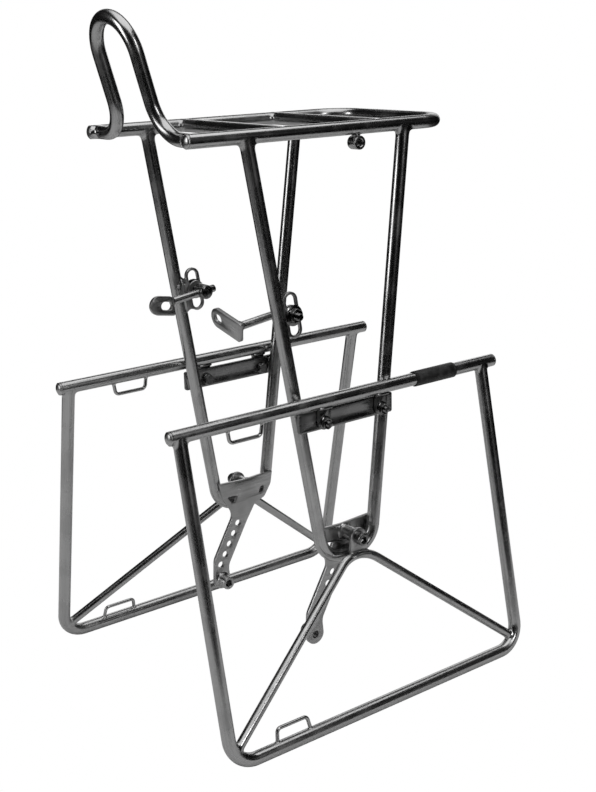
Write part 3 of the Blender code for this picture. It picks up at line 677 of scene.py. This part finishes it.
turn_round(sleeve, (PANNIER_TOP[0], SLEEVE_Y[0], PANNIER_TOP[1]), (0, 1, 0),
           [(length / 2, bore)] + sleeve_end + [(length - d, r) for d, r in reversed(sleeve_end)]
           + [(length / 2 + 0.01, bore)])
set_down("grip_sleeve_R", sleeve, black_rubber, RACK, ["rail_sleeve_R"])

# Hanging tabs: a lobed tab for each bolt, brazed under the top tube and bolted to the mounting strip.
# Each is blanked from the same sheet as the strip, and carries the same painted shade.
TAB_X = 80.3
TAB_HALF = 5.5
TAB_BRAZE_R = 1.4
for side, s in SIDES.items():
    for place, y in BOLT_Y.items():
        lobe = half_round((y, BOLT_Z), TAB_HALF, math.pi)
        shoulders = [Vector((y + offset, PANNIER_TOP[1] - 2)) for offset in (TAB_HALF, -TAB_HALF)]
        tab = blank([shoulders + lobe, disc((y, BOLT_Z), M5_R + GAP)], s * TAB_X)
        for face in (-1.0, 1.0):
            corner = Vector((s * PANNIER_TOP[0] + face * 2.2, y, PANNIER_TOP[1] - TUBE_R + 0.3))
            ends = [corner + Vector((0, TAB_HALF * e, 0)) for e in (-1.15, 0, 1.15)]
            run_braze(tab, ends, TAB_BRAZE_R)
        set_down(f"hanging_tab_{place}_{side}", tab, STRIP_PAINTED_SHADE, RACK, [f"rail_tab_{place}_{side}"])

# Pannier bolts: a black M5 hexagon bolt goes out through strip and tab at each place, with its head
# on the wheel side and a flanged nut outside.
M5_PITCH = 0.8
M5_FLATS = 4.0
M5_HEAD = 3.5
M5_NUT = 4.0
M5_END = 88.0
M5_FACE_R = 4.6               # the washer face forged under the head
BLACK_BOLT = plated("black_oxide_steel", (0.20, 0.20, 0.20), (0.13, 0.34),
                    spacing=300.0, patch=220.0, pitting=1.0)


def hexagonal(half_flats, crown=None):
    """The radius of a hexagon at an angle, held inside a crown radius where it is chamfered."""
    def radius(angle, _):
        size = half_flats / math.cos((angle + math.pi / 6) % (math.pi / 3) - math.pi / 6)
        return size if crown is None else min(size, crown)
    return radius


def hex_rows(start, height, half_flats):
    """Profile rows of a hexagon chamfered at both ends."""
    corner = half_flats / math.cos(math.pi / 6)
    crowns = ((0.0, half_flats * 0.97), (0.25, half_flats * 1.05), (0.45, half_flats * 1.10), (0.75, corner))
    chamfer = [(depth, hexagonal(half_flats, crown)) for depth, crown in crowns]
    return [(start + d, r) for d, r in chamfer] + [(start + height - d, r) for d, r in reversed(chamfer)]


def screwed(radius, pitch, depth):
    """The radius of a screw thread at an angle and distance."""
    def size(angle, distance):
        turn = (distance / pitch - angle / (2 * math.pi)) % 1.0
        return radius - depth * abs(2 * turn - 1)
    return size


def thread_rows(start, end, radius, pitch):
    """Profile rows of a threaded length with a chamfered tip."""
    thread = screwed(radius, pitch, 0.6 * pitch)
    count = max(4, round((end - start) / pitch * 6))
    rows = [(start + (end - start - 0.5) * i / count, thread) for i in range(count + 1)]
    return rows + [(end, radius - 0.7), (end, 0.05)]


for side, s in SIDES.items():
    for place, y in BOLT_Y.items():
        bolt = bmesh.new()
        head = BAR_X - SHEET / 2 - GAP
        turn_round(bolt, (s * (head + 0.01), y, BOLT_Z), (-s, 0, 0),
                   [(0.0, 0.05), (0.0, M5_FACE_R), (0.5, M5_FACE_R), (0.55, M5_FACE_R - 0.4)]
                   + hex_rows(0.6, M5_HEAD - 0.6, M5_FLATS) + [(M5_HEAD, 0.05)])
        turn_round(bolt, (s * head, y, BOLT_Z), (s, 0, 0),
                   [(0, 0.05), (0, M5_R), (7.5, M5_R)]
                   + thread_rows(7.6, M5_END - head, M5_R, M5_PITCH), 24)
        set_down(f"pannier_bolt_{place}_{side}", bolt, BLACK_BOLT, RACK, [f"bar_bolt_{place}_{side}"])
        nut = bmesh.new()
        face = TAB_X + SHEET / 2 + GAP
        turn_round(nut, (s * (face - 0.25), y, BOLT_Z), (s, 0, 0),
                   [(0.5, M5_R + 0.05), (0.0, M5_R + 0.3), (0.0, 4.9), (0.2, 5.1), (0.8, 5.0), (1.2, 4.45)]
                   + hex_rows(1.25, M5_NUT - 1.0, M5_FLATS)
                   + [(M5_NUT + 0.25, M5_R + 0.5), (M5_NUT - 0.1, M5_R + 0.05), (0.51, M5_R + 0.05)])
        set_down(f"pannier_nut_{place}_{side}", nut, BLACK_BOLT, RACK, [f"bar_nut_{place}_{side}"])

# Pannier hoops: two side tubes and a bottom tube bent from one length, brazed up under the top tube.
# The hoop leans outwards so that a bag rests against it.


def pannier_x(z):
    """Distance of the pannier frame's plane from the middle at height z."""
    share = (PANNIER_TOP[1] - z) / (PANNIER_TOP[1] - PANNIER_BOTTOM[1])
    return PANNIER_TOP[0] + share * (PANNIER_BOTTOM[0] - PANNIER_TOP[0])


for side, s in SIDES.items():
    loop = bmesh.new()
    corners = [(s * pannier_x(z), y, z) for y, z in
               ((SIDE_TUBE_Y["rear"], PANNIER_TOP[1]), (SIDE_TUBE_Y["rear"], PANNIER_BOTTOM[1]),
                (SIDE_TUBE_Y["front"], PANNIER_BOTTOM[1]), (SIDE_TUBE_Y["front"], PANNIER_TOP[1]))]
    draw_tube(loop, bent(corners, (PANNIER_BEND, PANNIER_BEND)), TUBE_R)
    for top, below in ((corners[0], corners[1]), (corners[3], corners[2])):
        braze_round(loop, top, Vector(below) - Vector(top), TUBE_R, top, (0, 1, 0), TUBE_R)
    set_down(f"pannier_hoop_tube_{side}", loop, NICKEL_TUBE, RACK, [f"pannier_hoop_{side}"])

# Pannier braces: a thinner rod bent to an upside-down V, from the hoop's two bottom corners up to the
# dropout. Each foot is brazed to the outside of the hoop's bend.
BRACE_R = 3.5
BRACE_TOP = (79.0, 8.5, 114.0)
BRACE_BEND = 28.0
BRACE_BRAZE = 2.6
brace_paths = {}
for side, s in SIDES.items():
    brace = bmesh.new()
    feet = []
    for place, inward in (("rear", 1.0), ("front", -1.0)):
        centre = Vector((SIDE_TUBE_Y[place] + inward * PANNIER_BEND, PANNIER_BOTTOM[1] + PANNIER_BEND))
        foot = centre + (centre - Vector(BRACE_TOP[1:])).normalized() * PANNIER_BEND
        feet.append(Vector((s * pannier_x(foot.y), foot.x, foot.y)))
    top = Vector((s * BRACE_TOP[0], *BRACE_TOP[1:]))
    brace_paths[side] = bent([feet[0], top, feet[1]], (BRACE_BEND,))
    draw_tube(brace, brace_paths[side], BRACE_R, 24)
    for foot in feet:
        along = Vector((0, -(top.z - foot.z), top.y - foot.y))
        along.x = s * (pannier_x(foot.z + along.z) - pannier_x(foot.z))
        braze_round(brace, foot, top - foot, BRACE_R, foot, along, TUBE_R, BRACE_BRAZE, 48)
    set_down(f"brace_rod_{side}", brace, NICKEL_TUBE, RACK, [f"pannier_brace_{side}"])

# Brace tabs and bosses: the brace's tab is screwed to a threaded boss on the dropout gusset, so the
# bottom of the pannier frame can be taken off. The tab is blanked and brazed on top of the rod's bend.
SCREW_AT = (8.5, 121.0)
BRACE_TAB_X = 82.0
EYE_R = 7.5
TAB_FOOT_HALF = 9.0
BRACE_BOSS_R = 5.5
M6_R = 3.0
for side, s in SIDES.items():
    y, z = SCREW_AT
    eye = [Vector((y + EYE_R * math.cos(a), z + EYE_R * math.sin(a)))
           for a in (math.pi * (-0.1 + 1.2 * i / 32) for i in range(33))]
    ridge = [p for p in brace_paths[side] if abs(p.y - y) < TAB_FOOT_HALF]
    foot = [Vector((p.y, p.z + 0.5)) for p in sorted(ridge, key=lambda p: p.y)]
    tab = blank([eye + foot, disc(SCREW_AT, M6_R + GAP)], s * BRACE_TAB_X)
    for out, up, size in ((0.6, 3.1, 1.2), (4.3, 1.1, 1.4)):
        run_braze(tab, [p + Vector((s * out, 0, up)) for p in ridge], size)
    set_down(f"brace_eye_tab_{side}", tab, NICKEL_SHEET, RACK, [f"brace_tab_{side}"])
    bush = bmesh.new()
    start, end = DROPOUT_X + SHEET / 2, BRACE_TAB_X - SHEET / 2 - GAP
    turn_round(bush, (s * start, y, z), (s, 0, 0),
               [(1.0, M6_R), (-0.3, M6_R), (-0.3, BRACE_BOSS_R + 1.5), (0.1, BRACE_BOSS_R + 1.4),
                (0.6, BRACE_BOSS_R + 0.6), (1.5, BRACE_BOSS_R + 0.1), (2.2, BRACE_BOSS_R),
                (end - start - 0.5, BRACE_BOSS_R), (end - start, BRACE_BOSS_R - 0.5),
                (end - start, M6_R + 0.4), (end - start - 0.4, M6_R), (1.01, M6_R)])
    set_down(f"brace_bush_{side}", bush, NICKEL_SHEET, RACK, [f"brace_boss_{side}"])

# Brace screws: a black M6 socket cap screw with a knurled head holds each brace tab to its boss.
CAP_R = 5.0
CAP_HEIGHT = 6.0
SOCKET_FLATS = 2.5
SOCKET_DEPTH = 3.0
SOCKET_RIM_R = 3.3
KNURL_RIDGES = 36
KNURL_DEPTH = 0.09
for side, s in SIDES.items():
    cap = bmesh.new()
    seat = BRACE_TAB_X + SHEET / 2 + GAP
    shank = seat - (DROPOUT_X + SHEET / 2 + GAP) - 2.0

    def knurl(angle, _):
        return CAP_R - KNURL_DEPTH + KNURL_DEPTH * math.cos(KNURL_RIDGES * angle)

    turn_round(cap, (s * (seat - GAP), *SCREW_AT), (s, 0, 0),
               [(0, 0.05), (0, CAP_R - 0.3), (0.3, CAP_R - 0.1), (0.6, knurl), (CAP_HEIGHT - 0.9, knurl),
                (CAP_HEIGHT - 0.5, CAP_R - 0.15), (CAP_HEIGHT + 0.1, CAP_R - 0.45),
                (CAP_HEIGHT + GAP, CAP_R - 0.9), (CAP_HEIGHT + GAP, SOCKET_RIM_R),
                (CAP_HEIGHT, hexagonal(SOCKET_FLATS)), (CAP_HEIGHT - SOCKET_DEPTH, hexagonal(SOCKET_FLATS)),
                (CAP_HEIGHT - SOCKET_DEPTH - 0.6, 0.05)], 144)
    turn_round(cap, (s * (seat - shank), *SCREW_AT), (s, 0, 0),
               [(0, 0.05), (0, 2.4), (0.5, M6_R - 0.1), (shank, M6_R - 0.1), (shank, 0.05)], 24)
    set_down(f"brace_cap_screw_{side}", cap, BLACK_BOLT, RACK, [f"brace_screw_{side}"])

# Strap loops: a small staple of bent wire brazed under each top tube and another on each bottom tube,
# for the bags' straps.
WIRE_R = 1.4
WIRE_BEND = 3.5
WIRE_BRAZE = 1.2
LOOP_Y = (-105.5, -75.0)
LOOP_RISE = 8.8
LOOP_FLARE = 2.0
for side, s in SIDES.items():
    for level, tube_z, rise in (("upper", PANNIER_TOP[1], -1.0), ("lower", PANNIER_BOTTOM[1], 1.0)):
        near, far = tube_z + rise * 1.5, tube_z + rise * (TUBE_R + LOOP_RISE)
        spots = ((LOOP_Y[0], near), (LOOP_Y[0] + LOOP_FLARE, far),
                 (LOOP_Y[1] - LOOP_FLARE, far), (LOOP_Y[1], near))
        wire_x = {near: PANNIER_TOP[0] if rise < 0 else PANNIER_BOTTOM[0],
                  far: PANNIER_TOP[0] if rise < 0 else pannier_x(far)}
        corners = [Vector((s * wire_x[z], y, z)) for y, z in spots]
        wire = bmesh.new()
        draw_tube(wire, bent(corners, (WIRE_BEND, WIRE_BEND)), WIRE_R, 16)
        for foot, top in ((corners[0], corners[1]), (corners[3], corners[2])):
            axis = Vector((foot.x, foot.y, tube_z))
            braze_round(wire, foot, top - foot, WIRE_R, axis, (0, 1, 0), TUBE_R, WIRE_BRAZE, 24)
        set_down(f"strap_staple_{level}_{side}", wire, NICKEL_TUBE, RACK, [f"strap_loop_{level}_{side}"])

# Strut clamps: a black flanged nut outside each slotted lug, and a plain plated washer inside it, draw
# up an eye bolt that grips the strut rod. Loosened, they slide in the slot and the eye turns.
ROD_X = 51.5
M6_FLATS = 5.0
M6_NUT = 5.0
FLANGE_R = 7.8
WASHER_R = 7.2
WASHER_T = 1.5
CLAMP_END = 75.5
EYE_BOLT_R = 5.6
EYE_HALF = 5.6
ROD_R = 3.0
ROD_HOLE_R = ROD_R + 0.15
ROD_SLOPE = 0.13
heading = Vector((0, 1, ROD_SLOPE)).normalized()
for side, s in SIDES.items():
    nut = bmesh.new()
    face = LUG_X + LUG_T / 2
    turn_round(nut, (s * (face + 0.02), *SLOT_CENTRE), (s, 0, 0),
               [(1.0, M6_R + 0.05), (0.0, M6_R + 0.4), (0.0, FLANGE_R - 0.2), (0.3, FLANGE_R),
                (0.9, FLANGE_R - 0.05), (1.7, 5.7)] + hex_rows(1.75, M6_NUT + GAP - 1.75, M6_FLATS)
               + [(M6_NUT + GAP, M6_R + 0.6), (M6_NUT - 0.2, M6_R + 0.05), (1.01, M6_R + 0.05)])
    set_down(f"clamp_flange_nut_{side}", nut, BLACK_BOLT, f"clamp_{side}", [f"clamp_nut_{side}"])

    washer = bmesh.new()
    hole, back = M6_R + 0.25, WASHER_T + GAP
    turn_round(washer, (s * (LUG_X - LUG_T / 2 - 0.02), *SLOT_CENTRE), (-s, 0, 0),
               [(0.9, hole), (0.0, hole), (0.0, WASHER_R - 0.3), (0.3, WASHER_R), (WASHER_T, WASHER_R),
                (back, WASHER_R - 0.3), (back, hole), (0.91, hole)])
    set_down(f"clamp_plain_washer_{side}", washer, NICKEL_SHEET, f"clamp_{side}", [f"clamp_washer_{side}"])

    stem = bmesh.new()
    start = ROD_X - EYE_HALF
    turn_round(stem, (s * start, *SLOT_CENTRE), (s, 0, 0),
               [(0, 0.05), (0, EYE_BOLT_R - 1.2), (0.35, EYE_BOLT_R - 0.45), (1.1, EYE_BOLT_R),
                (2 * EYE_HALF - 0.6, EYE_BOLT_R), (2 * EYE_HALF, EYE_BOLT_R - 0.5), (2 * EYE_HALF, M6_R),
                (2 * EYE_HALF + 1.5, M6_R - 0.3)]
               + thread_rows(2 * EYE_HALF + 1.6, CLAMP_END - start, M6_R, 1.0))
    eye = set_down(f"strut_eye_bolt_{side}", stem, BLACK_BOLT, f"eye_{side}", [f"eye_bolt_{side}"])

    # the rod's hole is drilled right through the eye
    drill_mesh = bmesh.new()
    centre = Vector((s * ROD_X, *SLOT_CENTRE))
    reach = 2 * EYE_BOLT_R
    turn_round(drill_mesh, centre - heading * reach, heading,
               [(0, 0.05), (0, ROD_HOLE_R), (2 * reach, ROD_HOLE_R), (2 * reach, 0.05)], 32)
    drill_data = bpy.data.meshes.new("drill")
    bmesh.ops.recalc_face_normals(drill_mesh, faces=drill_mesh.faces)
    drill_mesh.to_mesh(drill_data)
    drill_mesh.free()
    drill = bpy.data.objects.new("drill", drill_data)
    bpy.context.scene.collection.objects.link(drill)
    bore = eye.modifiers.new("bore", "BOOLEAN")
    bore.operation, bore.solver, bore.object = "DIFFERENCE", "EXACT", drill
    bpy.context.view_layer.update()
    bored = bpy.data.meshes.new_from_object(eye.evaluated_get(bpy.context.evaluated_depsgraph_get()))
    eye.modifiers.clear()
    eye.data = bored
    bpy.data.objects.remove(drill, do_unlink=True)

# Strut rods: a plain 6 mm rod slides through each eye and sets the strut's length.
ROD_FRONT = 10.5
ROD_REAR = {"L": 28.7, "R": 35.5}
for side, s in SIDES.items():
    centre = Vector((s * ROD_X, *SLOT_CENTRE))
    rod = bmesh.new()
    length = ROD_FRONT + ROD_REAR[side]
    turn_round(rod, centre - heading * ROD_REAR[side], heading,
               [(0, 0.05), (0, ROD_R), (length - 1.0, ROD_R), (length - 0.4, ROD_R - 0.35),
                (length, ROD_R - 1.1), (length, 0.05)], 40)
    set_down(f"strut_bar_{side}", rod, NICKEL_TUBE, f"rod_{side}", [f"strut_rod_{side}"])

# Strut tangs: a slotted steel flat welded to the rear end of each rod, which screws to the fork. The
# right one is turned inward across its rod, and the left one lies along its rod. Root, drop and hole are
# millimetres from the end of the rod.
TANG_HALF = 7.5
TANG_LENGTH = {"L": 21.0, "R": 36.0}
TANG_TILT = {"L": math.radians(17.0), "R": 0.0}
TANG_TWIST = math.radians(14.0)
TANG_ROOT = {"L": 0.0, "R": 3.4}
TANG_DROP = {"L": 3.9, "R": -4.0}
TANG_HOLE_AT = {"L": 6.8, "R": 28.0}
TANG_HOLE_R = 3.3
TANG_HOLE_HALF = 1.5
TANG_CORNERS = (2.5, 0.0, 0.0, 1.5)
TANG_WELD = {"L": 0.8, "R": 0.2}        # the weld starts this far beyond the joint's gap
inward = Vector((1, 0, 0))
for side, s in SIDES.items():
    rod_end = Vector((s * ROD_X, *SLOT_CENTRE)) - heading * ROD_REAR[side]
    if side == "R":
        long_axis = inward.cross(heading) * math.sin(TANG_TWIST) - inward * math.cos(TANG_TWIST)
        thin_axis = heading
        middle = rod_end - heading * (GAP + SHEET / 2)
    else:
        long_axis, thin_axis = -heading, inward
        middle = rod_end - heading * GAP
    place = Matrix((long_axis, thin_axis.cross(long_axis), thin_axis)).transposed().to_4x4()
    lay_flat = Matrix(((0, 1, 0, 0), (0, 0, 1, 0), (1, 0, 0, 0), (0, 0, 0, 1)))
    run = Vector((math.cos(TANG_TILT[side]), -math.sin(TANG_TILT[side])))
    root = Vector((-TANG_ROOT[side], TANG_DROP[side]))
    edge = Vector((0, TANG_HALF / run.x))
    end_round = half_round(root + run * (TANG_LENGTH[side] - TANG_HALF), TANG_HALF,
                           -math.pi / 2 - TANG_TILT[side])
    outline = with_arc(softened([root - edge, end_round[0], end_round[-1], root + edge], TANG_CORNERS),
                       end_round)
    hole = root + run * TANG_HOLE_AT[side]
    slot = round_slot(hole - run * TANG_HOLE_HALF, hole + run * TANG_HOLE_HALF, TANG_HOLE_R)
    tang = blank([outline, slot], 0.0, place=Matrix.Translation(middle * MM) @ place @ lay_flat)
    turn_round(tang, rod_end - heading * (GAP + TANG_WELD[side]), heading,
               [(-0.2, 0.05), (-0.2, ROD_R + 1.0), (0.25, ROD_R + 0.9), (0.9, ROD_R + 0.35),
                (1.8, ROD_R + 0.05), (1.8, 0.05)], 40)
    set_down(f"strut_end_{side}", tang, NICKEL_SHEET, f"tang_{side}", [f"strut_tang_{side}"])

# Stage: a sheet of white paper just under the rack. It lights the tubes softly from below, and shows as
# plain white to the camera.
PAPER_X = (-0.8, 0.55)
PAPER_Y = (-0.8, 0.6)
PAPER_DROP = 0.0002
floor_mesh = bpy.data.meshes.new("floor")
floor_mesh.from_pydata([(PAPER_X[0], PAPER_Y[0], 0), (PAPER_X[1], PAPER_Y[0], 0),
                        (PAPER_X[1], PAPER_Y[1], 0), (PAPER_X[0], PAPER_Y[1], 0)], [], [(0, 1, 2, 3)])
floor = bpy.data.objects.new("floor", floor_mesh)
floor.location.z = -PAPER_DROP
bpy.context.scene.collection.objects.link(floor)
paper = bpy.data.materials.new("white_paper")
paper.use_nodes = True
paper_nodes, paper_links = paper.node_tree.nodes, paper.node_tree.links
sheet = paper_nodes["Principled BSDF"]
sheet.inputs["Base Color"].default_value = (0.86, 0.86, 0.86, 1)
sheet.inputs["Roughness"].default_value = 0.9
glow = paper_nodes.new("ShaderNodeEmission")
glow.inputs["Color"].default_value = (1, 1, 1, 1)
glow.inputs["Strength"].default_value = 1.0
seen = paper_nodes.new("ShaderNodeLightPath")
blend = paper_nodes.new("ShaderNodeMixShader")
paper_links.new(seen.outputs["Is Camera Ray"], blend.inputs["Fac"])
paper_links.new(sheet.outputs["BSDF"], blend.inputs[1])
paper_links.new(glow.outputs["Emission"], blend.inputs[2])
paper_links.new(blend.outputs["Shader"], paper_nodes["Material Output"].inputs["Surface"])
floor_mesh.materials.append(paper)

# Studio: dark surroundings with four soft boxes, so that the round tubes show narrow bright lines between
# dark ones. To the camera the surroundings are white.
world = bpy.data.worlds.new("studio")
world.use_nodes = True
bpy.context.scene.world = world
air, wires = world.node_tree.nodes, world.node_tree.links
white = air.new("ShaderNodeBackground")
white.inputs["Color"].default_value = (1, 1, 1, 1)
dim = air["Background"]
dim.inputs["Color"].default_value = (0.002, 0.002, 0.002, 1)
path = air.new("ShaderNodeLightPath")
choose = air.new("ShaderNodeMixShader")
wires.new(path.outputs["Is Camera Ray"], choose.inputs["Fac"])
wires.new(dim.outputs["Background"], choose.inputs[1])
wires.new(white.outputs["Background"], choose.inputs[2])
wires.new(choose.outputs["Shader"], air["World Output"].inputs["Surface"])
bpy.context.scene.view_settings.view_transform = "Standard"


def soft_lamp(name, at, aim, width, height, watts):
    """A rectangular soft box turned towards aim."""
    data = bpy.data.lights.new(name, "AREA")
    data.shape = "RECTANGLE"
    data.size, data.size_y, data.energy = width, height, watts
    made = bpy.data.objects.new(name, data)
    made.location = at
    made.rotation_mode = "QUATERNION"
    made.rotation_quaternion = (Vector(aim) - Vector(at)).to_track_quat("-Z", "Y")
    bpy.context.scene.collection.objects.link(made)


CENTRE = (0.0, 0.0, 0.25)
soft_lamp("key", (-0.5, -2.2, 0.9), CENTRE, 0.9, 1.4, 13)
soft_lamp("side", (2.2, 0.3, 1.3), CENTRE, 0.20, 1.2, 9)
soft_lamp("overhead", (0.1, 0.1, 2.3), CENTRE, 3.0, 2.4, 30)
soft_lamp("backdrop", (-2.0, 1.7, 0.9), CENTRE, 2.4, 1.2, 10)
